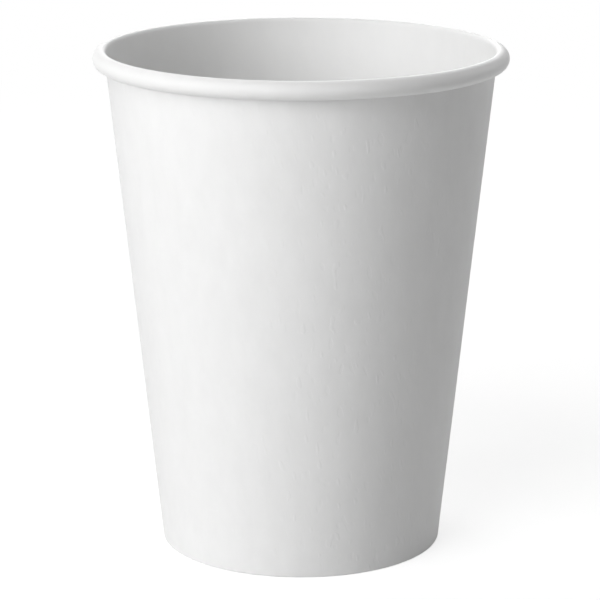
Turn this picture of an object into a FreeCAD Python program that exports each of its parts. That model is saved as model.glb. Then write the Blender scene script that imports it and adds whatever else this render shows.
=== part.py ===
import FreeCAD, Part
import math
import os

import Sketcher
from FreeCAD import Placement, Rotation, Vector

# A plain hot-drink cup of thin white paperboard, standing on its foot at z = 0.
# It is two boards: a sidewall rolled up into a cone, and a round base set up inside it.
# The sidewall's top is curled outwards, and its foot is folded in round the base's skirt.
# Lengths are in millimetres and angles in degrees. +Z is the cup's axis.

SIZES = [
    ("rim_diameter", 90.0, "across the rolled rim, a common lid size"),
    ("cup_height", 110.0, "foot to the top of the roll"),
    ("foot_diameter", 61.6, "outside of the wall, carried down to the foot"),
    ("wall_gauge", 0.38, "thickness of the sidewall board"),
    ("roll_height", 3.94, "top to underside of the rim's roll"),
    ("lip_bend", 0.64, "inside radius where the wall turns out into the roll"),
    ("roll_gap", 0.05, "between the wall and the edge tucked up beside it"),
    ("roll_tuck", 0.9, "straight edge of the board tucked up inside the roll"),
    ("fold_crease", 0.07, "inside radius of the two creases at the foot"),
    ("hem_height", 6.5, "how far the turned-in foot reaches up"),
    ("base_gauge", 0.30, "thickness of the base board"),
    ("base_bend", 0.35, "inside radius where the base turns down to its skirt"),
    ("base_clear", 0.65, "from the hem's top edge to the start of that bend"),
    ("skirt_lift", 0.05, "from the creases to the skirt's lower edge"),
    ("seal_gap", 0.02, "film between the skirt and the boards beside it"),
    ("lap_width", 7.0, "overlap of the side seam"),
    ("lap_ramp", 4.0, "run over which the outer ply comes down off the inner one"),
    ("lap_tuck", 0.8, "how far the outer ply reaches up into the roll's underside"),
    ("seam_angle", 23.5, "side seam, turned from +X towards +Y"),
]

# What follows from the sizes, as spreadsheet formulas.
# The wall's outer face runs from the foot circle up to touch the bend at the lip.
CREST = "(sizes.rim_diameter - sizes.roll_height) / 2"
LIP_RUN = f"({CREST} - sizes.foot_diameter / 2)"
LIP_RISE = "(sizes.cup_height - sizes.wall_gauge - sizes.lip_bend)"
LIP_REACH = f"sqrt({LIP_RUN} ^ 2 + {LIP_RISE} ^ 2)"
LEAN = f"(acos(sizes.lip_bend / {LIP_REACH}) - atan({LIP_RISE} / {LIP_RUN}))"
LEVEL_GAUGE = f"sizes.wall_gauge / cos({LEAN})"
ROLL_FOOT = "(sizes.cup_height - sizes.roll_height)"
HEM_DEPTH = "(2 * sizes.wall_gauge + sizes.base_gauge + 2 * sizes.seal_gap)"
SKIRT_DEPTH = "(sizes.wall_gauge + sizes.seal_gap)"
SKIRT_FOOT = "(sizes.wall_gauge + sizes.fold_crease + sizes.skirt_lift)"
BASE_LEVEL = "(sizes.hem_height + sizes.base_clear + sizes.base_bend)"
LAP_HALF = "sizes.lap_width / 2"
RAMP_FOOT = "(sizes.lap_width / 2 + sizes.lap_ramp)"

# Ends and centre of a sketch's line or arc, and the sketch's own axes, as the sketcher numbers them.
START, END, CENTRE = range(1, 4)
X_AXIS, Y_AXIS = range(-1, -3, -1)
ORIGIN = (X_AXIS, START)

# A section sketch has the radius along its X and the height along its Y.
SECTION_PLANE = Placement(Vector(0, 0, 0), Rotation(Vector(1, 0, 0), 90))


def make_sheet(doc):
    """The spreadsheet of driving sizes, one row each."""
    sheet = doc.addObject("Spreadsheet::Sheet", "sizes")
    for row, (alias, value, note) in enumerate(SIZES, start=1):
        sheet.set(f"A{row}", alias)
        sheet.set(f"B{row}", str(value))
        sheet.set(f"C{row}", note)
        sheet.setAlias(f"B{row}", alias)
    doc.recompute()
    return sheet


def worth(sketch, formula):
    """A formula's value in millimetres, or in radians if it is an angle."""
    value = FreeCAD.Units.Quantity(sketch.evalExpression(formula))
    return math.radians(value.Value) if value.Unit == FreeCAD.Units.Angle else value.Value


def add_line(sketch, start, end, guide=False):
    return sketch.addGeometry(Part.LineSegment(start, end), guide)


def add_arc(sketch, centre, start, end):
    """An anticlockwise arc about centre, from start round to the direction of end."""
    first = math.atan2(start.y - centre.y, start.x - centre.x)
    last = math.atan2(end.y - centre.y, end.x - centre.x)
    if last <= first:
        last += 2 * math.pi
    circle = Part.Circle(centre, Vector(0, 0, 1), centre.distanceToPoint(start))
    return sketch.addGeometry(Part.ArcOfCircle(circle, first, last), False)


def relate(sketch, kind, *where):
    """A relation that has no size, such as coincident or tangent."""
    sketch.addConstraint(Sketcher.Constraint(kind, *where))


def drive(sketch, name, formula, kind, *where):
    """A named dimension of the sketch, bound to the spreadsheet by its formula."""
    value = worth(sketch, formula)
    index = sketch.addConstraint(Sketcher.Constraint(kind, *where, value))
    sketch.renameConstraint(index, name)
    sketch.setExpression(f"Constraints.{name}", formula)


class Wall:
    """The line of the wall's outer face in a section sketch, which other lines are set from."""

    def __init__(self, sketch):
        self.foot = worth(sketch, "sizes.foot_diameter / 2")
        self.lean = worth(sketch, LEAN)
        self.along = Vector(math.sin(self.lean), math.cos(self.lean), 0)
        self.out = Vector(math.cos(self.lean), -math.sin(self.lean), 0)
        top = worth(sketch, "sizes.cup_height")
        self.line = add_line(sketch, self.point(0, 0), self.point(top, 0), guide=True)
        relate(sketch, "PointOnObject", self.line, START, X_AXIS)
        drive(sketch, "foot_radius", "sizes.foot_diameter / 2", "DistanceX", *ORIGIN, self.line, START)
        drive(sketch, "wall_height", "sizes.cup_height", "DistanceY", self.line, START, self.line, END)
        drive(sketch, "wall_lean", f"-{LEAN}", "Angle", Y_AXIS, START, self.line, START)

    def point(self, height, depth):
        """The point at a height that lies depth inside the wall's outer face."""
        radius = self.foot + height * math.tan(self.lean) - depth / math.cos(self.lean)
        return Vector(radius, height, 0)

    def arc_radius(self, end, depth, hangs):
        """Radius of the arc that levels out at end, and elsewhere touches the line at that depth.

        The arc hangs below its level end, or else it stands on it.
        """
        room = (end.x - self.point(end.y, depth).x) * math.cos(self.lean)
        turn = math.sin(self.lean)
        return room / (1 - turn) if hangs else room / (1 + turn)


def make_outline(doc):
    """The sidewall board's outside face in section, as one chain of tangent lines and arcs.

    It runs down the turned-in hem, round the foot, up the wall and round the roll,
    and ends at the edge of the board that is tucked up inside the roll.
    """
    sketch = doc.addObject("Sketcher::SketchObject", "sidewall_outline")
    sketch.Placement = SECTION_PLANE
    wall_face = Wall(sketch)
    guide = wall_face.line
    fold = worth(sketch, "sizes.wall_gauge + sizes.fold_crease")
    hem_depth = worth(sketch, HEM_DEPTH)
    tuck_depth = -worth(sketch, "sizes.roll_gap + sizes.wall_gauge")

    # The level points of the roll's inside, and the centres of all the arcs.
    crest = worth(sketch, CREST)
    roll_top = Vector(crest, worth(sketch, "sizes.cup_height - sizes.wall_gauge"), 0)
    roll_low = Vector(crest, worth(sketch, f"{ROLL_FOOT} + sizes.wall_gauge"), 0)
    lip = wall_face.arc_radius(roll_top, 0, hangs=True)
    tuck = wall_face.arc_radius(roll_low, tuck_depth, hangs=False)
    hem_centre = wall_face.point(fold, hem_depth - fold)
    foot_centre = wall_face.point(fold, fold)
    lip_centre = roll_top - Vector(0, lip, 0)
    roll_centre = (roll_top + roll_low) / 2
    tuck_centre = roll_low + Vector(0, tuck, 0)

    hem_top = wall_face.point(worth(sketch, "sizes.hem_height"), hem_depth)
    hem_low = hem_centre - wall_face.out * fold
    ring_in = Vector(hem_centre.x, 0, 0)
    ring_out = Vector(foot_centre.x, 0, 0)
    wall_low = foot_centre + wall_face.out * fold
    wall_high = lip_centre - wall_face.out * lip
    tuck_low = tuck_centre - wall_face.out * tuck
    tuck_high = tuck_low + wall_face.along * worth(sketch, "sizes.roll_tuck")

    hem = add_line(sketch, hem_top, hem_low)
    hem_fold = add_arc(sketch, hem_centre, hem_low, ring_in)
    ring = add_line(sketch, ring_in, ring_out)
    wall_fold = add_arc(sketch, foot_centre, ring_out, wall_low)
    wall = add_line(sketch, wall_low, wall_high)
    lip_arc = add_arc(sketch, lip_centre, roll_top, wall_high)
    roll_arc = add_arc(sketch, roll_centre, roll_low, roll_top)
    tuck_arc = add_arc(sketch, tuck_centre, tuck_low, roll_low)
    tuck_line = add_line(sketch, tuck_low, tuck_high)

    # Each piece of the chain runs smoothly into the next.
    relate(sketch, "Tangent", hem, END, hem_fold, START)
    relate(sketch, "Tangent", hem_fold, END, ring, START)
    relate(sketch, "Tangent", ring, END, wall_fold, START)
    relate(sketch, "Tangent", wall_fold, END, wall, START)
    relate(sketch, "Tangent", wall, END, lip_arc, END)
    relate(sketch, "Tangent", lip_arc, START, roll_arc, END)
    relate(sketch, "Tangent", roll_arc, START, tuck_arc, END)
    relate(sketch, "Tangent", tuck_arc, START, tuck_line, START)

    # The foot stands on z = 0, and its two folds are alike.
    relate(sketch, "PointOnObject", ring, START, X_AXIS)
    relate(sketch, "PointOnObject", ring, END, X_AXIS)
    drive(sketch, "fold", "sizes.wall_gauge + sizes.fold_crease", "Radius", wall_fold)
    relate(sketch, "Equal", hem_fold, wall_fold)
    relate(sketch, "PointOnObject", wall, START, guide)
    relate(sketch, "Parallel", hem, guide)
    drive(sketch, "hem_depth", HEM_DEPTH, "Distance", hem, START, guide)
    drive(sketch, "hem_top", "sizes.hem_height", "DistanceY", *ORIGIN, hem, START)

    # The roll's outer half is round. Its lip joins it to the wall, and its tuck comes back to it.
    drive(sketch, "roll_round", "sizes.roll_height / 2 - sizes.wall_gauge", "Radius", roll_arc)
    drive(sketch, "roll_crest", CREST, "DistanceX", *ORIGIN, roll_arc, CENTRE)
    roll_middle = "sizes.cup_height - sizes.roll_height / 2"
    drive(sketch, "roll_middle", roll_middle, "DistanceY", *ORIGIN, roll_arc, CENTRE)
    relate(sketch, "Vertical", roll_arc, CENTRE, roll_arc, END)
    relate(sketch, "Vertical", roll_arc, CENTRE, roll_arc, START)
    relate(sketch, "Parallel", wall, guide)
    relate(sketch, "Parallel", tuck_line, guide)
    tuck_place = "sizes.roll_gap + sizes.wall_gauge"
    drive(sketch, "tuck_depth", tuck_place, "Distance", tuck_line, END, guide)
    drive(sketch, "tuck_length", "sizes.roll_tuck", "Distance", tuck_line, START, tuck_line, END)
    return sketch


def make_plan(doc, name, height):
    """An empty plan sketch at a height, turned so that its X points to the side seam."""
    sketch = doc.addObject("Sketcher::SketchObject", name)
    sketch.Placement = Placement(Vector(0, 0, 0), Rotation(Vector(0, 0, 1), 1))
    sketch.setExpression("Placement.Base.z", height)
    sketch.setExpression("Placement.Rotation.Angle", "sizes.seam_angle * 1 deg")
    return sketch


def wall_radius(height):
    """Formula for the radius of the wall's outer face at a height."""
    return f"(sizes.foot_diameter / 2 + {height} * tan({LEAN}))"


def on_circle(radius, offset):
    """The point of a circle about the origin that lies offset along Y, on the +X side."""
    return Vector(math.sqrt(radius ** 2 - offset ** 2), offset, 0)


def make_lap_plan(doc, name, height):
    """The side seam's outer ply in plan, from its raw edge to the foot of its ramp.

    Its inner side lies in the middle of the wall, so that the two are one board.
    """
    sketch = make_plan(doc, name, height)
    outer_face = f"{wall_radius(height)} + {LEVEL_GAUGE}"
    inner_side = f"{wall_radius(height)} - {LEVEL_GAUGE} / 2"
    outside = worth(sketch, outer_face)
    inside = worth(sketch, inner_side)
    half = worth(sketch, LAP_HALF)
    raw_in = on_circle(inside, -half)
    raw_out = on_circle(outside, -half)
    ramp_out = on_circle(outside, half)
    ramp_in = on_circle(inside, worth(sketch, RAMP_FOOT))

    outer = add_arc(sketch, Vector(0, 0, 0), raw_out, ramp_out)
    ramp = add_line(sketch, ramp_out, ramp_in)
    inner = add_arc(sketch, Vector(0, 0, 0), raw_in, ramp_in)
    raw = add_line(sketch, raw_in, raw_out)
    relate(sketch, "Coincident", outer, CENTRE, *ORIGIN)
    relate(sketch, "Coincident", inner, CENTRE, *ORIGIN)
    relate(sketch, "Coincident", outer, END, ramp, START)
    relate(sketch, "Coincident", ramp, END, inner, END)
    relate(sketch, "Coincident", inner, START, raw, START)
    relate(sketch, "Coincident", raw, END, outer, START)
    relate(sketch, "Horizontal", raw)
    drive(sketch, "outer_face", outer_face, "Radius", outer)
    drive(sketch, "inner_side", inner_side, "Radius", inner)
    drive(sketch, "raw_edge", LAP_HALF, "DistanceY", outer, START, *ORIGIN)
    drive(sketch, "ramp_top", LAP_HALF, "DistanceY", *ORIGIN, outer, END)
    drive(sketch, "ramp_foot", RAMP_FOOT, "DistanceY", *ORIGIN, inner, END)
    return sketch


def make_groove_plan(doc, name, height):
    """The wedge of air inside the cup in plan, where the outer ply comes off the inner ply's edge.

    The wedge starts inside the cup's hollow, half a board in from the wall.
    """
    sketch = make_plan(doc, name, height)
    edge_root = wall_radius(height)
    inner_side = f"{wall_radius(height)} - {LEVEL_GAUGE} * 3 / 2"
    inside = worth(sketch, inner_side)
    half = worth(sketch, LAP_HALF)
    edge_in = on_circle(inside, half)
    edge_out = on_circle(worth(sketch, edge_root), half)
    ramp_in = on_circle(inside, worth(sketch, RAMP_FOOT))

    edge = add_line(sketch, edge_in, edge_out)
    ramp = add_line(sketch, edge_out, ramp_in)
    inner = add_arc(sketch, Vector(0, 0, 0), edge_in, ramp_in)
    relate(sketch, "Coincident", inner, CENTRE, *ORIGIN)
    relate(sketch, "Coincident", inner, START, edge, START)
    relate(sketch, "Coincident", edge, END, ramp, START)
    relate(sketch, "Coincident", ramp, END, inner, END)
    relate(sketch, "Horizontal", edge)
    drive(sketch, "inner_side", inner_side, "Radius", inner)
    drive(sketch, "edge_place", LAP_HALF, "DistanceY", *ORIGIN, edge, START)
    drive(sketch, "edge_root", edge_root, "Distance", *ORIGIN, edge, END)
    drive(sketch, "ramp_foot", RAMP_FOOT, "DistanceY", *ORIGIN, inner, END)
    return sketch


def make_between(doc, name, low, high):
    """A straight-sided solid between two plan sketches."""
    solid = doc.addObject("Part::Loft", name)
    solid.Sections = [low, high]
    solid.Solid = True
    solid.Ruled = True
    return solid


def make_sidewall(doc):
    """The sidewall: one board, rolled up with a lapped side seam, curled at the rim and hemmed."""
    section = doc.addObject("Part::Offset2D", "sidewall_section")
    section.Source = make_outline(doc)
    section.Mode = "Skin"
    section.Join = "Intersection"
    section.Fill = True
    section.setExpression("Value", "sizes.wall_gauge")

    turned = doc.addObject("Part::Revolution", "sidewall_turned")
    turned.Source = section
    turned.Axis = Vector(0, 0, 1)
    turned.Base = Vector(0, 0, 0)
    turned.Angle = 360
    turned.Solid = True

    # The plies lap from the foot up into the roll. Below the base its skirt fills the groove.
    in_roll = f"({ROLL_FOOT} + sizes.lap_tuck)"
    lap_foot = make_lap_plan(doc, "lap_foot", "0")
    lap_rim = make_lap_plan(doc, "lap_rim", in_roll)
    groove_foot = make_groove_plan(doc, "groove_foot", BASE_LEVEL)
    groove_rim = make_groove_plan(doc, "groove_rim", in_roll)

    lapped = doc.addObject("Part::Fuse", "sidewall_lapped")
    lapped.Base = turned
    lapped.Tool = make_between(doc, "lap", lap_foot, lap_rim)
    sidewall = doc.addObject("Part::Cut", "sidewall")
    sidewall.Base = lapped
    sidewall.Tool = make_between(doc, "groove", groove_foot, groove_rim)
    return sidewall


def origin_plane(body, role):
    """One of a body's own origin planes, found by its role."""
    return next(plane for plane in body.Origin.OriginFeatures if plane.Role == role)


def make_base(doc):
    """The base: one round board, flat across, with its edge turned down to a skirt."""
    body = doc.addObject("PartDesign::Body", "base_disc")
    sketch = body.newObject("Sketcher::SketchObject", "base_section")
    sketch.AttachmentSupport = [(origin_plane(body, "XZ_Plane"), "")]
    sketch.MapMode = "FlatFace"
    wall_face = Wall(sketch)
    guide = wall_face.line
    gauge = worth(sketch, "sizes.base_gauge")
    bend_in = worth(sketch, "sizes.base_bend")
    bend_out = bend_in + gauge
    face_depth = worth(sketch, SKIRT_DEPTH)
    level = worth(sketch, BASE_LEVEL)

    bend_centre = wall_face.point(level - bend_in, face_depth + bend_out)
    skirt_high = bend_centre + wall_face.out * bend_out
    skirt_low = wall_face.point(worth(sketch, SKIRT_FOOT), face_depth)
    back_low = skirt_low - wall_face.out * gauge
    back_high = bend_centre + wall_face.out * bend_in
    edge_top = Vector(bend_centre.x, level + gauge, 0)
    edge_low = Vector(bend_centre.x, level, 0)
    middle_top = Vector(0, level + gauge, 0)
    middle_low = Vector(0, level, 0)

    upper = add_line(sketch, middle_top, edge_top)
    bend = add_arc(sketch, bend_centre, skirt_high, edge_top)
    skirt = add_line(sketch, skirt_high, skirt_low)
    skirt_end = add_line(sketch, skirt_low, back_low)
    skirt_back = add_line(sketch, back_low, back_high)
    bend_back = add_arc(sketch, bend_centre, back_high, edge_low)
    lower = add_line(sketch, edge_low, middle_low)
    axis = add_line(sketch, middle_low, middle_top)

    relate(sketch, "Tangent", upper, END, bend, END)
    relate(sketch, "Tangent", bend, START, skirt, START)
    relate(sketch, "Coincident", skirt, END, skirt_end, START)
    relate(sketch, "Coincident", skirt_end, END, skirt_back, START)
    relate(sketch, "Tangent", skirt_back, END, bend_back, START)
    relate(sketch, "Tangent", bend_back, END, lower, START)
    relate(sketch, "Coincident", lower, END, axis, START)
    relate(sketch, "Coincident", axis, END, upper, START)
    relate(sketch, "PointOnObject", axis, START, Y_AXIS)
    relate(sketch, "Vertical", axis)
    relate(sketch, "Horizontal", upper)
    relate(sketch, "Horizontal", lower)
    relate(sketch, "Coincident", bend, CENTRE, bend_back, CENTRE)
    relate(sketch, "Parallel", skirt, guide)
    relate(sketch, "Parallel", skirt_back, guide)
    relate(sketch, "Perpendicular", skirt, skirt_end)
    drive(sketch, "level", BASE_LEVEL, "DistanceY", *ORIGIN, axis, START)
    drive(sketch, "gauge", "sizes.base_gauge", "DistanceY", axis, START, axis, END)
    drive(sketch, "bend", "sizes.base_bend", "Radius", bend_back)
    drive(sketch, "skirt_depth", SKIRT_DEPTH, "Distance", skirt, END, guide)
    drive(sketch, "skirt_foot", SKIRT_FOOT, "DistanceY", *ORIGIN, skirt, END)

    turned = body.newObject("PartDesign::Revolution", "base_turned")
    turned.Profile = sketch
    turned.ReferenceAxis = (sketch, ["V_Axis"])
    turned.Angle = 360
    body.Tip = turned
    return body


def check_document(doc, pieces):
    """Stops if any object failed to build, or a piece has no sound shape."""
    doc.recompute()
    for item in doc.Objects:
        if "Invalid" in item.State or "Error" in item.State:
            raise RuntimeError(f"{item.Name} did not build: {item.State}")
    for piece in pieces:
        if piece.Shape.isNull() or not piece.Shape.isValid():
            raise RuntimeError(f"{piece.Label} has no sound shape")


doc = FreeCAD.newDocument("paper_cup")
make_sheet(doc)
pieces = [make_sidewall(doc), make_base(doc)]
check_document(doc, pieces)
os.makedirs("parts", exist_ok=True)
for piece in pieces:
    piece.Shape.exportStep(f"parts/{piece.Label}.step")
    print(f"{piece.Label}: {len(piece.Shape.Solids)} solid, {piece.Shape.Volume / 1000:.3f} cm3")
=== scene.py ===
import math

import bpy
from bpy.props import FloatProperty, FloatVectorProperty, IntProperty, PointerProperty
from mathutils import Matrix, Vector, noise


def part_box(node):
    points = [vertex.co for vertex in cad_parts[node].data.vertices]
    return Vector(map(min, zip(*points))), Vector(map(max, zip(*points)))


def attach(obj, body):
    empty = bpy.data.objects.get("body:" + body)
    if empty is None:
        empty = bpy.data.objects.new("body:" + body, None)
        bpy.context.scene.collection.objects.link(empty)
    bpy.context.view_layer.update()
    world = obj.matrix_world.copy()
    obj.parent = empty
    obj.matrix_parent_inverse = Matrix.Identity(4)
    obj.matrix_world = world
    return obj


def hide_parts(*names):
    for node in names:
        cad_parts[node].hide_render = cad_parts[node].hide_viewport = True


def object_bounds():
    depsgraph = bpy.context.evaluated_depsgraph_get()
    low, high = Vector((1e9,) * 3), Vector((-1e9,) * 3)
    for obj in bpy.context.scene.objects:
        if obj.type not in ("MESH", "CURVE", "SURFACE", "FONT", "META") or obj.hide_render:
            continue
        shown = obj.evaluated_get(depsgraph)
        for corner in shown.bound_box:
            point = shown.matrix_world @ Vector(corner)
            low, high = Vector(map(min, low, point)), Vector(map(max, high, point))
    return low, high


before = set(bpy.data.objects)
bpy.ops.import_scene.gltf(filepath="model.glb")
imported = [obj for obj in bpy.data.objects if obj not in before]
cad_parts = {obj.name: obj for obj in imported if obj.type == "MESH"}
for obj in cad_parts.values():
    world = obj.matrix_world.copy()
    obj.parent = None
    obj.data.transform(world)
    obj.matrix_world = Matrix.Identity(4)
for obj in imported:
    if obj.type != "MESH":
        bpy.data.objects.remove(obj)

bl_info = {
    "name": "Paper hot-drink cup",
    "version": (1, 0, 0),
    "blender": (4, 5, 0),
    "location": "3D View > Sidebar > Paper cup",
    "description": "A plain white paper cup of two boards, with its stage",
    "category": "Add Mesh",
}

# Everything is in metres, in the frame's own axes: +Z is the cup's axis and it stands on z = 0.
# A board is drawn as its film side, the side towards the drink, and then gets its thickness.
MM = 0.001
CAD_LOW, CAD_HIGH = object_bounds()
WALL_LOW, WALL_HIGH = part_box("sidewall")
BASE_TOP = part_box("base_disc")[1].z

# How finely the boards are divided.
COLUMNS = 480
LAP_COLUMNS = 12
RAMP_COLUMNS = 7
HEM_ROWS = 4
FOLD_STEPS = 6
WALL_ROWS = 22
LIP_STEPS = 8
ROLL_STEPS = 22
TUCK_STEPS = 8
TUCK_ROWS = 2
BASE_RINGS = 14
BEND_STEPS = 5
SKIRT_ROWS = 6

# The steepest edge that is smoothed over, how near two points merge, how near to a whole turn counts
# as its start, and the run over which a cut edge comes down.
SMOOTH_LIMIT = math.radians(35)
MERGE_REACH = 0.001 * MM
START_REACH = 1e-5
CUT_SLOPE = 0.02 * MM

# Runs along the board over which a small form fades out.
HEM_MARGIN = 0.8 * MM
WALL_MARGIN = 8 * MM
ROLL_MARGIN = 1.5 * MM
GATHER_REACH = 2 * MM

# Shares of a ply: the outer ply sinks into the pressed hem, and stands out a little at the folds.
HEM_PRESS = 0.5
FOLD_PRESS = 0.6
# Shares of a ply that are left of the step beside the inner ply, where the roll presses it flat.
GROOVE_AT_ROLL = 0.8
GROOVE_AT_TUCK = 0.5
# The wall's unevenness is longer up the wall than round it.
WAVE_UPRIGHT = 0.45

# The board's faces, in the order of their materials.
FILM, PAPER, CUT = 0, 1, 2


def length(name, description, default, **more):
    """A length in metres that a user can change."""
    return FloatProperty(
        name=name, description=description, default=default, precision=5, unit="LENGTH", **more
    )


def colour(name, description, default):
    """A plain colour that a user can change."""
    return FloatVectorProperty(
        name=name, description=description, default=default, size=3, min=0, max=1, subtype="COLOR"
    )


class CupSizes(bpy.types.PropertyGroup):
    """The sizes of the two boards, as the solids have them."""

    rim_diameter: length("Rim diameter", "Across the rolled rim", WALL_HIGH.x - WALL_LOW.x)
    cup_height: length("Height", "Foot to the top of the roll", WALL_HIGH.z)
    foot_diameter: length("Foot diameter", "Wall's outside, carried down to the foot", 61.6 * MM)
    wall_gauge: length("Wall gauge", "Thickness of the sidewall board", 0.38 * MM)
    roll_height: length("Roll height", "Top to underside of the rolled rim", 3.94 * MM)
    lip_bend: length("Lip bend", "Inside radius where the wall turns into the roll", 0.64 * MM)
    roll_gap: length("Roll gap", "Between the wall and the edge tucked beside it", 0.05 * MM)
    roll_tuck: length("Roll tuck", "Straight edge tucked up inside the roll", 0.9 * MM)
    fold_crease: length("Fold crease", "Inside radius of the foot's two creases", 0.07 * MM)
    hem_height: length("Hem height", "How far the turned-in foot reaches up", 6.5 * MM)
    base_gauge: length("Base gauge", "Thickness of the base board", 0.3 * MM)
    base_bend: length("Base bend", "Inside radius where the base turns down", 0.35 * MM)
    seal_gap: length("Seal gap", "Film between the skirt and the boards beside it", 0.02 * MM)
    skirt_lift: length("Skirt lift", "Between the skirt's cut edge and the fold under it", 0.05 * MM)
    lap_width: length("Lap width", "Overlap of the side seam", 7 * MM)
    lap_ramp: length("Lap ramp", "Run over which the outer ply comes down", 4 * MM)
    seam_angle: FloatProperty(
        name="Seam angle",
        description="Side seam, turned from +X towards +Y",
        default=math.radians(23.5),
        subtype="ANGLE",
    )


class HandmadeSizes(bpy.types.PropertyGroup):
    """Small forms that pressing and rolling leave in the boards."""

    knurl_count: IntProperty(name="Knurl ridges", description="Ridges pressed round the hem", default=120)
    knurl_depth: length("Knurl depth", "Depth of the ridges pressed in the hem", 0.07 * MM)
    gather_count: IntProperty(name="Gathers", description="Gathers round the base's bend", default=96)
    gather_depth: length("Gather depth", "Small gathers where the base turns down", 0.03 * MM)
    base_dish: length("Base dish", "How far the base sags in its middle", 0.12 * MM)
    wall_wave: length("Wall wave", "Soft unevenness of the rolled wall", 0.06 * MM)
    wave_size: length("Wave size", "Size of that unevenness along the wall", 18 * MM)
    curl_wave: length("Curl wave", "Soft unevenness of the rolled rim", 0.08 * MM)
    curl_size: length("Curl size", "Size of that unevenness round the rim", 9 * MM)
    roll_press: FloatProperty(
        name="Roll press",
        description="Share of a ply that the roll stands out where the seam crosses it",
        default=0.35,
        subtype="FACTOR",
    )


class CupFinish(bpy.types.PropertyGroup):
    """Colours and gloss of the boards."""

    paper: colour("Paper", "Uncoated outside", (0.86, 0.86, 0.858))
    film: colour("Film side", "Inside, under a thin clear film", (0.855, 0.855, 0.851))
    cut: colour("Cut edge", "Raw edge of the board", (0.8, 0.79, 0.765))
    paper_roughness: FloatProperty(name="Paper roughness", description="Gloss of the paper", default=0.8)
    film_roughness: FloatProperty(name="Film roughness", description="Gloss of the film", default=0.48)


# The square picture's side in pixels, the camera's sensor in millimetres, and how near and far it sees.
PICTURE_SIDE = 600
SENSOR = 36
NEAREST, FURTHEST = 0.01, 50


class CupStage(bpy.types.PropertyGroup):
    """Camera, lamps and floor."""

    camera_back: length("Camera distance", "From the cup's axis, level", 593.9 * MM)
    camera_up: length("Camera height", "Above the floor", 205 * MM)
    camera_pitch: FloatProperty(
        name="Camera pitch", description="Tilt below level", default=math.radians(14.293), subtype="ANGLE"
    )
    camera_lens: FloatProperty(name="Lens", description="For a 36 mm square picture", default=166.7)
    camera_shift: FloatProperty(
        name="Shift", description="Sideways, as a share of the picture", default=-1 / PICTURE_SIDE
    )
    floor_span: length("Floor span", "Side of the floor", 8)
    shadow_share: FloatProperty(name="Shadow", description="How deep the floor's shadow is", default=0.35)
    shadow_reach: length("Shadow reach", "Where the floor has faded to plain white", 0.6)
    lamp_distance: length("Lamp distance", "From the cup's middle to each lamp", 1.2)
    lamp_size: length("Lamp size", "Across each round lamp", 0.6)
    fill: FloatProperty(name="Fill", description="Light from all round", default=0.05)


# Each lamp's azimuth and elevation in degrees, and its watts.
LAMPS = (
    ("key_left", -60, 20, 5.5),
    ("key_front", -30, 20, 2.8),
    ("key_high", -30, 50, 4.7),
    ("back_left", -150, 50, 3.1),
    ("back_middle", 180, 20, 2.7),
    ("back_right", 120, 20, 2.9),
)
# The floor's tone, how brightly the lamps light it, how white the camera sees it near the cup, and
# the share of the shadow's reach at which it starts to fade to plain white.
FLOOR_TONE = 0.8
FLOOR_LIGHT = 0.8
FLOOR_WHITE = 1.05
FADE_START = 1 / 3


class Section:
    """Places in the boards' section, in the plane of X and Z, set from the wall's outer face."""

    def __init__(self, sizes):
        self.foot = sizes.foot_diameter / 2
        self.crest = (sizes.rim_diameter - sizes.roll_height) / 2
        lip_run = self.crest - self.foot
        lip_rise = sizes.cup_height - sizes.wall_gauge - sizes.lip_bend
        lip_reach = math.hypot(lip_run, lip_rise)
        self.lean = math.acos(sizes.lip_bend / lip_reach) - math.atan(lip_rise / lip_run)
        self.along = Vector((math.sin(self.lean), 0, math.cos(self.lean)))
        self.out = Vector((math.cos(self.lean), 0, -math.sin(self.lean)))

    def point(self, height, depth):
        """The point at a height that lies depth inside the wall's outer face."""
        radius = self.foot + height * math.tan(self.lean) - depth / math.cos(self.lean)
        return Vector((radius, 0, height))


class Pen:
    """Draws the film side of a board's section in edit mode, as one chain of points."""

    def __init__(self, name, start):
        bpy.ops.object.select_all(action="DESELECT")
        bpy.ops.mesh.primitive_plane_add(size=MM)
        self.piece = bpy.context.object
        self.piece.name = self.piece.data.name = name
        bpy.ops.object.mode_set(mode="EDIT")
        bpy.ops.mesh.select_mode(type="VERT")
        bpy.ops.mesh.select_all(action="SELECT")
        bpy.ops.mesh.merge(type="CENTER")
        bpy.ops.transform.translate(value=start)
        self.tip = start
        self.run = 0.0

    def line(self, end, parts=1):
        """A straight stretch, in equal parts. Returns how far along the board it ends."""
        step = (end - self.tip) / parts
        for _ in range(parts):
            bpy.ops.mesh.extrude_region_move(TRANSFORM_OT_translate={"value": step})
        self.run += (end - self.tip).length
        self.tip = end
        return self.run

    def arc(self, centre, turn, steps):
        """A round stretch about centre, anticlockwise if turn is positive."""
        bpy.ops.mesh.spin(steps=steps, angle=turn, center=centre, axis=(0, 1, 0))
        arm = self.tip - centre
        self.run += steps * 2 * arm.length * math.sin(abs(turn) / steps / 2)
        self.tip = centre + Matrix.Rotation(-turn, 3, "Y") @ arm
        return self.run

    def finish(self):
        """Notes on every point how far along the board it lies, and returns the piece."""
        bpy.ops.object.mode_set(mode="OBJECT")
        mesh = self.piece.data
        neighbours = {vertex.index: [] for vertex in mesh.vertices}
        for edge in mesh.edges:
            first, second = edge.vertices
            neighbours[first].append(second)
            neighbours[second].append(first)
        run = mesh.attributes.new("run", "FLOAT", "POINT")
        before, here, total = None, 0, 0.0
        while here is not None:
            run.data[here].value = total
            onward = [index for index in neighbours[here] if index != before]
            before, here = here, (onward[0] if onward else None)
            if here is not None:
                total += (mesh.vertices[here].co - mesh.vertices[before].co).length
        return self.piece


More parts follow.
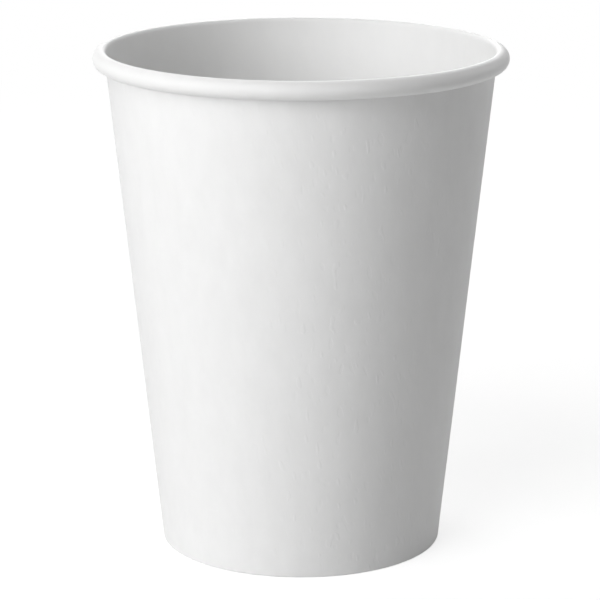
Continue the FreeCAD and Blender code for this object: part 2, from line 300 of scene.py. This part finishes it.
def spin_round(piece, stretches):
    """Turns a drawn section into a closed wall, in stretches of (angle, columns)."""
    bpy.ops.object.mode_set(mode="EDIT")
    bpy.ops.mesh.select_all(action="SELECT")
    for angle, columns in stretches:
        bpy.ops.mesh.spin(
            steps=columns, angle=-angle, center=(0, 0, 0), axis=(0, 0, 1), use_auto_merge=False
        )
    bpy.ops.mesh.select_all(action="SELECT")
    bpy.ops.mesh.remove_doubles(threshold=MERGE_REACH)
    bpy.ops.mesh.normals_make_consistent(inside=False)
    bpy.ops.object.mode_set(mode="OBJECT")


def thicken(piece, gauge):
    """Backs a film side with its board, and gives it cut edges."""
    board = piece.modifiers.new("board", "SOLIDIFY")
    piece.vertex_groups.new(name="paper_side")
    board.thickness = gauge
    board.offset = -1
    board.use_even_offset = True
    board.material_offset = PAPER
    board.material_offset_rim = CUT
    board.shell_vertex_group = "paper_side"
    bpy.ops.object.modifier_apply(modifier=board.name)


def read_attribute(mesh, name):
    """The value that each point has in one of the mesh's attributes."""
    return [item.value for item in mesh.attributes[name].data]


def level_out(vertex):
    """The level direction from the cup's axis to a point, with no length on the axis itself."""
    return Vector((vertex.co.x, vertex.co.y, 0)).normalized()


def on_paper_side(piece):
    """For each point, whether it lies on the board's paper side."""
    group = piece.vertex_groups["paper_side"].index
    return [any(g.group == group and g.weight > 0.5 for g in v.groups) for v in piece.data.vertices]


def follow(value, stations):
    """A value read off a line of (place, value) stations, straight between them."""
    if value <= stations[0][0]:
        return stations[0][1]
    for (low, low_value), (high, high_value) in zip(stations, stations[1:]):
        if value <= high:
            return low_value + (high_value - low_value) * (value - low) / (high - low)
    return stations[-1][1]


def ease(share):
    """A share that starts and ends softly, held between 0 and 1."""
    share = min(max(share, 0.0), 1.0)
    return share * share * (3 - 2 * share)


def half_wave(value):
    """Carries a wave of -1 to 1 over to 0 to 1."""
    return 0.5 + 0.5 * value


class SeamPlan:
    """Where the side seam's columns of points stand, measured across the seam in metres."""

    def __init__(self, sizes):
        self.half = sizes.lap_width / 2
        self.ramp = sizes.lap_ramp
        self.angle = sizes.seam_angle
        self.nominal = sizes.rim_diameter / 2
        self.start = -self.half - CUT_SLOPE
        self.end = self.half + self.ramp
        self.zone = (self.end - self.start) / self.nominal
        self.clear = 3 * self.end

    def stretches(self):
        """The spin's stretches, with a column at each side of both cut edges."""
        edge = CUT_SLOPE / self.nominal
        lap = 2 * self.half / self.nominal
        ramp = (self.ramp - CUT_SLOPE) / self.nominal
        rest = COLUMNS - LAP_COLUMNS - RAMP_COLUMNS
        return [
            (edge, 1),
            (lap, LAP_COLUMNS),
            (edge, 1),
            (ramp, RAMP_COLUMNS),
            (2 * math.pi - self.zone, rest),
        ]

    def turn(self, around, radius):
        """Azimuth of a column at a radius, so that the seam's edges run straight up the blank."""
        first = math.asin(self.start / radius)
        last = math.asin(self.end / radius)
        if around <= self.zone:
            place = self.start + around * self.nominal
            return self.angle + math.asin(min(place, self.end) / radius)
        share = (around - self.zone) / (2 * math.pi - self.zone)
        return self.angle + last + share * (2 * math.pi + first - last)

    def across(self, vertex):
        """How far a point lies across the seam, or None where it is well away from it."""
        spot = Matrix.Rotation(-self.angle, 3, "Z") @ vertex.co
        return spot.y if spot.x > 0 and abs(spot.y) < self.clear else None

    def outer_ply(self, across):
        """How far the outer ply stands off the wall, in plies."""
        if across < -self.half - CUT_SLOPE / 2:
            return 0.0
        return min(1.0, max(0.0, (self.end - across) / self.ramp))

    def inner_groove(self, across):
        """How far the wall's inside stands back beyond the inner ply's edge, in plies."""
        if across < self.half + CUT_SLOPE / 2:
            return 0.0
        return max(0.0, (self.end - across) / self.ramp)

    def swell(self, across):
        """The smooth swelling of the roll over both plies, from 0 to 1."""
        rise = ease((across + self.half + self.ramp) / self.ramp)
        return rise * ease((self.end - across) / self.ramp)


def roll_up(piece, seam):
    """Notes each point's place round the spin, and stands the seam's columns straight."""
    mesh = piece.data
    around = mesh.attributes.new("around", "FLOAT", "POINT")
    for vertex in mesh.vertices:
        radius = math.hypot(vertex.co.x, vertex.co.y)
        angle = math.atan2(vertex.co.y, vertex.co.x) % (2 * math.pi)
        if angle > 2 * math.pi - START_REACH:
            angle = 0.0
        around.data[vertex.index].value = angle
        azimuth = seam.turn(angle, radius)
        vertex.co = (radius * math.cos(azimuth), radius * math.sin(azimuth), vertex.co.z)


def lay_seam(piece, seam, sizes, handmade, stations):
    """Lifts the outer ply off the wall, sets the inside back beyond it, and swells the roll."""
    runs = read_attribute(piece.data, "run")
    paper = on_paper_side(piece)
    normals = [vertex.normal.copy() for vertex in piece.data.vertices]
    outer_share = [
        (stations["hem"], -HEM_PRESS),
        (stations["ring"], 0.0),
        (stations["wall_fold"], FOLD_PRESS),
        (stations["wall"], 1.0),
        (stations["lip"], 1.0),
        (stations["roll"], 0.0),
    ]
    inner_share = [
        (stations["base"], 0.0),
        (stations["base"] + sizes.wall_gauge, 1.0),
        (stations["lip"], 1.0),
        (stations["roll"], GROOVE_AT_ROLL),
        (stations["tuck"], GROOVE_AT_TUCK),
        (stations["end"], 0.0),
    ]
    roll_middle = (stations["roll"] + stations["tuck"]) / 2
    swell_share = [
        (stations["roll"], 0.0),
        (roll_middle, handmade.roll_press),
        (stations["tuck"], 1.0),
    ]
    for vertex in piece.data.vertices:
        across = seam.across(vertex)
        if across is None:
            continue
        run = runs[vertex.index]
        outward = level_out(vertex)
        shift = outward * seam.swell(across) * follow(run, swell_share)
        if paper[vertex.index]:
            shift += outward * seam.outer_ply(across) * follow(run, outer_share)
        else:
            shift -= normals[vertex.index] * seam.inner_groove(across) * follow(run, inner_share)
        vertex.co += shift * sizes.wall_gauge


def press_hem(piece, handmade, stations):
    """Presses fine upright ridges into the side of the hem that faces the axis."""
    runs = read_attribute(piece.data, "run")
    rounds = read_attribute(piece.data, "around")
    paper = on_paper_side(piece)
    for vertex in piece.data.vertices:
        run = runs[vertex.index]
        if not paper[vertex.index] or run > stations["hem"]:
            continue
        reach = ease(run / HEM_MARGIN) * ease((stations["hem"] - run) / HEM_MARGIN)
        ridge = half_wave(math.cos(handmade.knurl_count * rounds[vertex.index]))
        vertex.co += level_out(vertex) * handmade.knurl_depth * ridge * reach


def wave_wall(piece, handmade, stations):
    """Gives the wall the soft unevenness of rolled board."""
    runs = read_attribute(piece.data, "run")
    for vertex in piece.data.vertices:
        run = runs[vertex.index]
        low_reach = ease((run - stations["wall"]) / WALL_MARGIN)
        reach = low_reach * ease((stations["lip"] - run) / WALL_MARGIN)
        if reach == 0:
            continue
        spot = vertex.co / handmade.wave_size
        wave = noise.noise(Vector((spot.x, spot.y, spot.z * WAVE_UPRIGHT)))
        vertex.co += level_out(vertex) * handmade.wall_wave * wave * reach


def wave_roll(piece, sizes, handmade, stations):
    """Lets the roll sink inwards and down a little here and there, as curled board does."""
    runs = read_attribute(piece.data, "run")
    scale = sizes.rim_diameter / 2 / handmade.curl_size
    for vertex in piece.data.vertices:
        run = runs[vertex.index]
        low_reach = ease((run - stations["lip"]) / ROLL_MARGIN)
        reach = low_reach * ease((stations["end"] - run) / ROLL_MARGIN)
        if reach == 0:
            continue
        outward = level_out(vertex)
        inward = half_wave(noise.noise(outward * scale))
        down = half_wave(noise.noise(outward * scale + Vector((0, 0, scale))))
        vertex.co -= (outward * inward + Vector((0, 0, down))) * handmade.curl_wave * reach


def lay_out_blank(piece, section, stations):
    """A UV map in metres of the board as it was cut flat, a part of a ring."""
    mesh = piece.data
    runs = read_attribute(mesh, "run")
    rounds = read_attribute(mesh, "around")
    flat = mesh.uv_layers.new(name="blank")
    inner_radius = section.foot / math.sin(section.lean)
    fan = math.sin(section.lean)
    for face in mesh.polygons:
        turns = [rounds[index] for index in face.vertices]
        wraps = max(turns) - min(turns) > math.pi
        for loop, index, turn in zip(face.loop_indices, face.vertices, turns):
            if wraps and turn < math.pi:
                turn += 2 * math.pi
            radius = inner_radius + runs[index] - stations["wall"]
            angle = (turn - math.pi) * fan
            flat.data[loop].uv = (radius * math.sin(angle), radius * math.cos(angle))


def draw_sidewall(sizes, section):
    """Draws the sidewall's film side, and returns its piece with the stations along the board."""
    gauge = sizes.wall_gauge
    fold = gauge + sizes.fold_crease
    hem_depth = 2 * gauge + sizes.base_gauge + 2 * sizes.seal_gap
    hem_centre = section.point(fold, hem_depth - fold)
    foot_centre = section.point(fold, fold)
    height = sizes.cup_height
    lip_centre = Vector((section.crest, 0, height - gauge - sizes.lip_bend))
    roll_centre = Vector((section.crest, 0, height - sizes.roll_height / 2))
    tuck_level = height - sizes.roll_height + gauge
    tuck_face = section.point(tuck_level, -sizes.roll_gap - gauge)
    room = (section.crest - tuck_face.x) * math.cos(section.lean)
    tuck_bend = room / (1 + math.sin(section.lean))
    tuck_centre = Vector((section.crest, 0, tuck_level + tuck_bend))
    upright = math.pi / 2

    stations = {}
    pen = Pen("sidewall_board", section.point(sizes.hem_height, hem_depth) + section.out * gauge)
    stations["hem"] = pen.line(hem_centre - section.out * sizes.fold_crease, HEM_ROWS)
    stations["ring"] = pen.arc(hem_centre, upright + section.lean, FOLD_STEPS)
    stations["wall_fold"] = pen.line(foot_centre - Vector((0, 0, sizes.fold_crease)))
    stations["wall"] = pen.arc(foot_centre, upright - section.lean, FOLD_STEPS)
    stations["base"] = stations["wall"] + BASE_TOP / math.cos(section.lean)
    lip_start = lip_centre - section.out * (sizes.lip_bend + gauge)
    stations["lip"] = pen.line(lip_start, WALL_ROWS)
    stations["roll"] = pen.arc(lip_centre, section.lean - upright, LIP_STEPS)
    stations["tuck"] = pen.arc(roll_centre, -math.pi, ROLL_STEPS)
    pen.arc(tuck_centre, -upright - section.lean, TUCK_STEPS)
    stations["end"] = pen.line(pen.tip + section.along * sizes.roll_tuck, TUCK_ROWS)
    return pen.finish(), stations


def finish_piece(piece, node):
    """Smooths a piece's faces and sets it in the frame in place of its solid."""
    bpy.ops.object.select_all(action="DESELECT")
    piece.select_set(True)
    bpy.context.view_layer.objects.active = piece
    bpy.ops.object.shade_smooth_by_angle(angle=SMOOTH_LIMIT)
    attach(piece, "root")
    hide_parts(node)


class CUP_OT_sidewall(bpy.types.Operator):
    """Adds the sidewall: one board with a lapped seam, a rolled rim and a turned-in foot."""

    bl_idname = "cup.sidewall"
    bl_label = "Sidewall"

    def execute(self, context):
        sizes = context.scene.cup_sizes
        handmade = context.scene.cup_handmade
        section = Section(sizes)
        seam = SeamPlan(sizes)
        piece, stations = draw_sidewall(sizes, section)
        spin_round(piece, seam.stretches())
        roll_up(piece, seam)
        for material in board_materials(context.scene.cup_finish):
            piece.data.materials.append(material)
        thicken(piece, sizes.wall_gauge)
        lay_out_blank(piece, section, stations)
        lay_seam(piece, seam, sizes, handmade, stations)
        press_hem(piece, handmade, stations)
        wave_wall(piece, handmade, stations)
        wave_roll(piece, sizes, handmade, stations)
        finish_piece(piece, "sidewall")
        return {"FINISHED"}


def lay_out_disc(piece):
    """A UV map in metres of the base as it was cut flat, a disc."""
    mesh = piece.data
    runs = read_attribute(mesh, "run")
    flat = mesh.uv_layers.new(name="blank")
    for face in mesh.polygons:
        for loop, index in zip(face.loop_indices, face.vertices):
            spot = mesh.vertices[index].co
            level = Vector((spot.x, spot.y))
            flat.data[loop].uv = level.normalized() * runs[index] if level.length else level


def press_base(piece, handmade, stations):
    """Lets the base sag a little in its middle, and gathers it where it turns down."""
    runs = read_attribute(piece.data, "run")
    for vertex in piece.data.vertices:
        run = runs[vertex.index]
        vertex.co.z -= handmade.base_dish * ease(1 - run / stations["edge"])
        angle = math.atan2(vertex.co.y, vertex.co.x)
        reach = ease(1 - abs(run - stations["skirt"]) / GATHER_REACH)
        gather = half_wave(math.cos(handmade.gather_count * angle))
        vertex.co -= level_out(vertex) * handmade.gather_depth * reach * gather


def draw_base(sizes, section):
    """Draws the base's film side: level from the axis, round its bend and down its skirt."""
    gauge = sizes.base_gauge
    bend = sizes.base_bend + gauge
    face_depth = sizes.wall_gauge + sizes.seal_gap
    bend_centre = section.point(BASE_TOP - bend, face_depth + bend)
    stations = {}
    pen = Pen("base_board", Vector((0, 0, BASE_TOP)))
    stations["edge"] = pen.line(bend_centre + Vector((0, 0, bend)), BASE_RINGS)
    stations["skirt"] = pen.arc(bend_centre, section.lean - math.pi / 2, BEND_STEPS)
    skirt_foot = sizes.wall_gauge + sizes.fold_crease + sizes.skirt_lift
    pen.line(section.point(skirt_foot, face_depth), SKIRT_ROWS)
    return pen.finish(), stations


class CUP_OT_base(bpy.types.Operator):
    """Adds the base: one round board with its edge turned down into the foot."""

    bl_idname = "cup.base"
    bl_label = "Base"

    def execute(self, context):
        sizes = context.scene.cup_sizes
        handmade = context.scene.cup_handmade
        section = Section(sizes)
        piece, stations = draw_base(sizes, section)
        spin_round(piece, [(2 * math.pi, COLUMNS)])
        for material in board_materials(context.scene.cup_finish):
            piece.data.materials.append(material)
        thicken(piece, sizes.base_gauge)
        lay_out_disc(piece)
        press_base(piece, handmade, stations)
        finish_piece(piece, "base_disc")
        return {"FINISHED"}


class NodeBench:
    """Adds nodes to one material, world or node group."""

    def __init__(self, tree):
        self.tree = tree

    def add(self, kind, **settings):
        """Adds a node of one kind with its settings."""
        node = self.tree.nodes.new(kind)
        for name, value in settings.items():
            setattr(node, name, value)
        return node

    def feed(self, socket, value):
        """Links a socket to another one, or sets its plain value."""
        if isinstance(value, bpy.types.NodeSocket):
            self.tree.links.new(value, socket)
        else:
            socket.default_value = value

    def maths(self, operation, first, second):
        """The result of a Math node on two sockets or numbers."""
        node = self.add("ShaderNodeMath", operation=operation)
        self.feed(node.inputs[0], first)
        self.feed(node.inputs[1], second)
        return node.outputs[0]

    def spread(self, value, low, high, to_low=0.0, to_high=1.0):
        """Carries low..high over to another range, smoothly and no further."""
        node = self.add("ShaderNodeMapRange", interpolation_type="SMOOTHSTEP")
        for socket, given in zip(node.inputs, (value, low, high, to_low, to_high)):
            self.feed(socket, given)
        return node.outputs[0]

    def noise(self, place, scale, detail):
        """Noise from 0 to 1 whose grains are 1/scale metres, by direction."""
        stretch = self.add("ShaderNodeVectorMath", operation="MULTIPLY_ADD")
        self.feed(stretch.inputs[0], place)
        self.feed(stretch.inputs[1], scale)
        self.feed(stretch.inputs[2], NOISE_LAYER)
        texture = self.add("ShaderNodeTexNoise")
        self.feed(texture.inputs["Vector"], stretch.outputs[0])
        self.feed(texture.inputs["Scale"], 1)
        self.feed(texture.inputs["Detail"], detail)
        return texture.outputs[0]

    def tint(self, colour_given, share):
        """A colour times a number near 1. Sockets 6 and 7 of a Mix node are its two colours."""
        node = self.add("ShaderNodeMix", data_type="RGBA", blend_type="MULTIPLY")
        shares = self.add("ShaderNodeCombineColor")
        for socket in shares.inputs:
            self.feed(socket, share)
        self.feed(node.inputs["Factor"], 1)
        self.feed(node.inputs[6], colour_given)
        self.feed(node.inputs[7], shares.outputs[0])
        return node.outputs[2]

    def showing(self):
        """1 for the rays that show the studio: the camera's, and those that gloss or glass sends on."""
        ray = self.add("ShaderNodeLightPath").outputs
        shiny = self.maths("MAXIMUM", ray["Is Glossy Ray"], ray["Is Transmission Ray"])
        return self.maths("MAXIMUM", ray["Is Camera Ray"], shiny)


# How strong the grain is on each face: mottle as a share of the tone, heights in millimetres.
FILM_GRAIN = {"Mottle": 0.04, "Fibre Height": 0.002, "Mark Height": 0.012, "Cloud Height": 0.006}
PAPER_GRAIN = {"Mottle": 0.07, "Fibre Height": 0.004, "Mark Height": 0.03, "Cloud Height": 0.018}
CUT_GRAIN = {"Mottle": 0.12, "Fibre Height": 0.02, "Mark Height": 0.01, "Cloud Height": 0.0}
# How much the film and the bare paper mirror, where 0.5 is a plain plastic.
FILM_SHINE = 0.3
PAPER_SHINE = 0.25
# The blank lies flat, so its noise is read halfway between two layers of the noise's cells.
NOISE_LAYER = (0, 0, 0.5)
# How many grains there are to a metre by direction, longer up the board, and how finely each is broken.
FIBRES = ((3000, 900, 3000), 2)
MARKS = ((820, 330, 820), 0)
CLOUDS = ((300, 120, 300), 3)
# Where the marks' noise rises to a bump and sinks to a pit, and a pit's depth in bumps.
BUMP_RANGE = (0.70, 0.84)
PIT_RANGE = (0.18, 0.30)
PIT_DEPTH = 0.5
# How much the fibres count in the shade beside the clouds, and how much the shade dulls the gloss.
FIBRE_SHADE = 0.2
SHADE_GLOSS = 0.15


def board_grain():
    """Node group: fibres, small bumps and pits, and cloudiness of pressed paper board."""
    group = bpy.data.node_groups.get("board_grain")
    if group:
        return group
    group = bpy.data.node_groups.new("board_grain", "ShaderNodeTree")
    for name, kind, default in (
        ("Place", "NodeSocketVector", None),
        ("Tone", "NodeSocketColor", None),
        ("Mottle", "NodeSocketFloat", 0.03),
        ("Gloss", "NodeSocketFloat", 0.6),
        ("Fibre Height", "NodeSocketFloat", 0.002),
        ("Mark Height", "NodeSocketFloat", 0.006),
        ("Cloud Height", "NodeSocketFloat", 0.01),
    ):
        socket = group.interface.new_socket(name=name, in_out="INPUT", socket_type=kind)
        if default is not None:
            socket.default_value = default
    group.interface.new_socket(name="Color", in_out="OUTPUT", socket_type="NodeSocketColor")
    group.interface.new_socket(name="Roughness", in_out="OUTPUT", socket_type="NodeSocketFloat")
    group.interface.new_socket(name="Height", in_out="OUTPUT", socket_type="NodeSocketFloat")

    bench = NodeBench(group)
    given = bench.add("NodeGroupInput").outputs
    fibres = bench.noise(given["Place"], *FIBRES)
    marks = bench.noise(given["Place"], *MARKS)
    clouds = bench.noise(given["Place"], *CLOUDS)
    bumps = bench.spread(marks, *BUMP_RANGE)
    pits = bench.spread(marks, *PIT_RANGE, PIT_DEPTH, 0.0)

    shade = bench.maths("ADD", clouds, bench.maths("MULTIPLY", fibres, FIBRE_SHADE))
    shade = bench.maths("SUBTRACT", shade, (1 + FIBRE_SHADE) / 2)
    tone = bench.maths("ADD", bench.maths("MULTIPLY", shade, given["Mottle"]), 1)
    gloss = bench.maths("ADD", bench.maths("MULTIPLY", shade, SHADE_GLOSS), given["Gloss"])
    weave = bench.maths("MULTIPLY", fibres, given["Fibre Height"])
    marked = bench.maths("MULTIPLY", bench.maths("SUBTRACT", bumps, pits), given["Mark Height"])
    swell = bench.maths("MULTIPLY", clouds, given["Cloud Height"])
    height = bench.maths("ADD", bench.maths("ADD", weave, marked), swell)

    result = bench.add("NodeGroupOutput").inputs
    bench.feed(result["Color"], bench.tint(given["Tone"], tone))
    bench.feed(result["Roughness"], gloss)
    bench.feed(result["Height"], height)
    return group


def board_material(name, tone, gloss, shine, grain_values, flat=True):
    """One face of the board. Its grain lies on the flat blank, or in the solid at a cut edge."""
    material = bpy.data.materials.new(name)
    material.use_nodes = True
    shader = material.node_tree.nodes["Principled BSDF"]
    shader.inputs["Specular IOR Level"].default_value = shine
    bench = NodeBench(material.node_tree)
    if flat:
        place = bench.add("ShaderNodeUVMap", uv_map="blank").outputs[0]
    else:
        place = bench.add("ShaderNodeTexCoord").outputs["Object"]
    grain = bench.add("ShaderNodeGroup", node_tree=board_grain())
    bench.feed(grain.inputs["Place"], place)
    bench.feed(grain.inputs["Tone"], (*tone, 1))
    bench.feed(grain.inputs["Gloss"], gloss)
    for socket, value in grain_values.items():
        bench.feed(grain.inputs[socket], value)
    bump = bench.add("ShaderNodeBump")
    bench.feed(bump.inputs["Distance"], MM)
    bench.feed(bump.inputs["Height"], grain.outputs["Height"])
    bench.feed(shader.inputs["Base Color"], grain.outputs["Color"])
    bench.feed(shader.inputs["Roughness"], grain.outputs["Roughness"])
    bench.feed(shader.inputs["Normal"], bump.outputs[0])
    return material


def board_materials(finish):
    """The board's three faces: film side, paper side and cut edge. Both pieces share them."""
    names = ["board_film", "board_paper", "board_cut"]
    if names[0] in bpy.data.materials:
        return [bpy.data.materials[name] for name in names]
    matt = finish.paper_roughness
    return [
        board_material(names[FILM], finish.film, finish.film_roughness, FILM_SHINE, FILM_GRAIN),
        board_material(names[PAPER], finish.paper, matt, PAPER_SHINE, PAPER_GRAIN),
        board_material(names[CUT], finish.cut, matt, PAPER_SHINE, CUT_GRAIN, flat=False),
    ]


def grey(tone):
    """A grey as a node's colour."""
    return (tone, tone, tone, 1)


def floor_material(stage):
    """A pale floor that the camera sees white, with the cup's light shadow kept round it."""
    material = bpy.data.materials.new("pale_floor")
    material.use_nodes = True
    bench = NodeBench(material.node_tree)
    bench.tree.nodes.clear()
    pale = bench.add("ShaderNodeBsdfDiffuse")
    bench.feed(pale.inputs["Color"], grey(FLOOR_TONE))
    shaded = bench.add("ShaderNodeBsdfDiffuse")
    bench.feed(shaded.inputs["Color"], grey(stage.shadow_share))
    glow = bench.add("ShaderNodeEmission")
    bench.feed(glow.inputs["Strength"], FLOOR_WHITE - stage.shadow_share * FLOOR_LIGHT)
    near = bench.add("ShaderNodeAddShader")
    bench.feed(near.inputs[0], shaded.outputs[0])
    bench.feed(near.inputs[1], glow.outputs[0])
    white = bench.add("ShaderNodeEmission")
    bench.feed(white.inputs["Strength"], 1)
    spot = bench.add("ShaderNodeVectorMath", operation="LENGTH")
    bench.feed(spot.inputs[0], bench.add("ShaderNodeTexCoord").outputs["Object"])
    far = bench.spread(spot.outputs["Value"], stage.shadow_reach * FADE_START, stage.shadow_reach)
    seen = bench.add("ShaderNodeMixShader")
    bench.feed(seen.inputs[0], far)
    bench.feed(seen.inputs[1], near.outputs[0])
    bench.feed(seen.inputs[2], white.outputs[0])
    by_ray = bench.add("ShaderNodeMixShader")
    bench.feed(by_ray.inputs[0], bench.showing())
    bench.feed(by_ray.inputs[1], pale.outputs[0])
    bench.feed(by_ray.inputs[2], seen.outputs[0])
    bench.feed(bench.add("ShaderNodeOutputMaterial").inputs["Surface"], by_ray.outputs[0])
    return material


def studio_world(stage):
    """White behind the cup and in its gloss, and a faint fill light from all round."""
    world = bpy.data.worlds.new("studio")
    world.use_nodes = True
    bench = NodeBench(world.node_tree)
    background = world.node_tree.nodes["Background"]
    bench.feed(background.inputs["Color"], grey(1))
    bench.feed(background.inputs["Strength"], bench.maths("MAXIMUM", bench.showing(), stage.fill))
    return world


def add_lamp(name, azimuth, elevation, watts, stage):
    """A round soft lamp that points at the cup. Azimuth 0 is the camera's side, 90 its right."""
    turn, tilt = math.radians(azimuth), math.radians(elevation)
    away = Vector((math.sin(turn) * math.cos(tilt), -math.cos(turn) * math.cos(tilt), math.sin(tilt)))
    middle = Vector((0, 0, CAD_HIGH.z / 2))
    bpy.ops.object.light_add(
        type="AREA",
        location=middle + away * stage.lamp_distance,
        rotation=away.to_track_quat("Z", "Y").to_euler(),
    )
    lamp = bpy.context.object
    lamp.name = lamp.data.name = name
    lamp.data.shape = "DISK"
    lamp.data.size = stage.lamp_size
    lamp.data.energy = watts
    lamp.visible_camera = False


class CUP_OT_stage(bpy.types.Operator):
    """Adds the floor, the lamps and the camera."""

    bl_idname = "cup.stage"
    bl_label = "Stage"

    def execute(self, context):
        stage = context.scene.cup_stage
        bpy.ops.object.select_all(action="DESELECT")
        bpy.ops.mesh.primitive_plane_add(size=stage.floor_span)
        floor = context.object
        floor.name = floor.data.name = "floor"
        floor.data.materials.append(floor_material(stage))

        context.scene.world = studio_world(stage)
        for lamp in LAMPS:
            add_lamp(*lamp, stage)

        bpy.ops.object.camera_add(
            location=(0, -stage.camera_back, stage.camera_up),
            rotation=(math.pi / 2 - stage.camera_pitch, 0, 0),
        )
        camera = context.object
        camera.name = camera.data.name = "camera"
        camera.data.lens = stage.camera_lens
        camera.data.sensor_width = SENSOR
        camera.data.shift_x = stage.camera_shift
        camera.data.clip_start = NEAREST
        camera.data.clip_end = FURTHEST
        context.scene.camera = camera
        context.scene.view_settings.view_transform = "Standard"
        return {"FINISHED"}


class CUP_PT_panel(bpy.types.Panel):
    """Lists the cup's sizes, finish and steps."""

    bl_idname = "CUP_PT_panel"
    bl_label = "Paper cup"
    bl_space_type = "VIEW_3D"
    bl_region_type = "UI"
    bl_category = "Paper cup"

    def draw(self, context):
        for group in (context.scene.cup_sizes, context.scene.cup_handmade,
                      context.scene.cup_finish, context.scene.cup_stage):
            box = self.layout.box()
            for name in group.bl_rna.properties.keys():
                if name not in ("rna_type", "name"):
                    box.prop(group, name)
        for operator in (CUP_OT_sidewall, CUP_OT_base, CUP_OT_stage):
            self.layout.operator(operator.bl_idname)


CLASSES = (
    CupSizes, HandmadeSizes, CupFinish, CupStage,
    CUP_OT_sidewall, CUP_OT_base, CUP_OT_stage, CUP_PT_panel,
)


def register():
    for cls in CLASSES:
        bpy.utils.register_class(cls)
    bpy.types.Scene.cup_sizes = PointerProperty(type=CupSizes)
    bpy.types.Scene.cup_handmade = PointerProperty(type=HandmadeSizes)
    bpy.types.Scene.cup_finish = PointerProperty(type=CupFinish)
    bpy.types.Scene.cup_stage = PointerProperty(type=CupStage)


def unregister():
    del bpy.types.Scene.cup_sizes
    del bpy.types.Scene.cup_handmade
    del bpy.types.Scene.cup_finish
    del bpy.types.Scene.cup_stage
    for cls in reversed(CLASSES):
        bpy.utils.unregister_class(cls)


def main():
    register()
    bpy.ops.cup.sidewall()
    bpy.ops.cup.base()
    bpy.ops.cup.stage()


if __name__ == "__main__":
    main()
